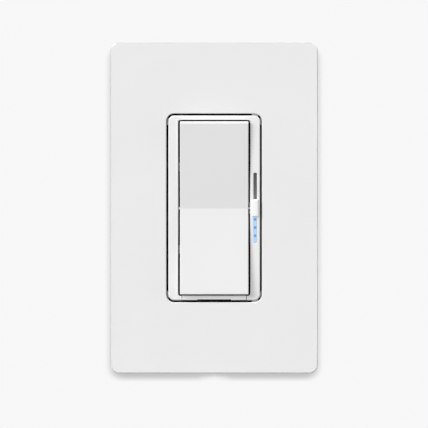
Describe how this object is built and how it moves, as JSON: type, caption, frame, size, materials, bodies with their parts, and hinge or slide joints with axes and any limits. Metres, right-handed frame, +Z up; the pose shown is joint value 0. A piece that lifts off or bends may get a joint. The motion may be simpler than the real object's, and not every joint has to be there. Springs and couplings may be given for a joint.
{
  "type": "smart dimmer switch",
  "caption": "Wall-mounted smart dimmer with a screwless wallplate, a large rocking paddle, a slim brightness slider over a lit level bar, and a pull-out service switch.",
  "frame": {"origin": "midway between the two wall-box screw slots of the strap, in the wall plane", "axes": "+X to the right and +Z up as seen from the front, +Y into the wall; the face looks along -Y"},
  "size_m": [0.0746, 0.0411, 0.119],
  "materials": {
    "cover_plastic": "satin moulded white",
    "face_plastic": "satin moulded white",
    "adapter_plastic": "matt moulded white",
    "light_guide": "frosted clear",
    "strap_aluminium": "stamped, tumbled",
    "housing_plastic": "matt moulded black",
    "zinc_steel": "zinc plated",
    "circuit_board": "solder mask",
    "epoxy_package": "moulded epoxy",
    "tinned_copper": "tinned",
    "contact_brass": "stamped",
    "copper_wire": "enamelled",
    "ferrite": "sintered",
    "silicone": "moulded silicone",
    "pot_case": "moulded",
    "shield_tin": "drawn tinplate",
    "thermal_sheet": "filled silicone",
    "film_box": "moulded",
    "can_sleeve": "sleeved can",
    "disc_coating": "dipped epoxy",
    "fuse_body": "ceramic tube",
    "led_lens": "moulded lens"
  },
  "bodies": {
    "device": {"wallplate_cover": "cover_plastic", "wallplate_adapter": "adapter_plastic", "adapter_screws": "zinc_steel", "bezel": "face_plastic", "light_bar": "light_guide", "yoke": "strap_aluminium", "ground_lug": "tinned_copper", "ground_rivet": "zinc_steel", "rear_housing": "housing_plastic", "housing_screws": "zinc_steel", "control_board": "circuit_board", "power_board": "circuit_board", "upper_dome": "silicone", "lower_dome": "silicone", "indicator_leds": "led_lens", "slide_pot_body": "pot_case", "controller_chip": "epoxy_package", "radio_module": "shield_tin", "antenna": "tinned_copper", "board_header": "epoxy_package", "mosfet_packages": "epoxy_package", "mosfet_leads": "tinned_copper", "mosfet_screws": "zinc_steel", "thermal_pad": "thermal_sheet", "choke_core": "ferrite", "choke_winding": "copper_wire", "supply_transformer": "ferrite", "transformer_winding": "copper_wire", "film_capacitor": "film_box", "electrolytic_capacitor": "can_sleeve", "varistor": "disc_coating", "fuse": "fuse_body", "air_gap_contact": "contact_brass", "air_gap_leaf": "contact_brass"},
    "paddle": {"paddle": "face_plastic"},
    "slider": {"slider_knob": "face_plastic", "slider_carriage": "adapter_plastic", "slide_pot_wiper": "pot_case"},
    "service_switch": {"service_switch_bar": "face_plastic"}
  },
  "joints": [
    {"name": "paddle_rock", "type": "hinge", "parent": "device", "child": "paddle", "pos_m": [0, -0.007, -0.0002], "axis": [1, 0, 0], "range_deg": [-1.6, 1.6], "stiffness_Nm_per_rad": 1.2, "deforming": ["upper_dome", "lower_dome"]},
    {"name": "slider_travel", "type": "slide", "parent": "device", "child": "slider", "axis": [0, 0, 1], "range_m": [-0.0095, 0.0095]},
    {"name": "service_switch_pull", "type": "slide", "parent": "device", "child": "service_switch", "axis": [0, -1, 0], "range_m": [0, 0.0025], "deforming": ["air_gap_leaf"]}
  ]
}
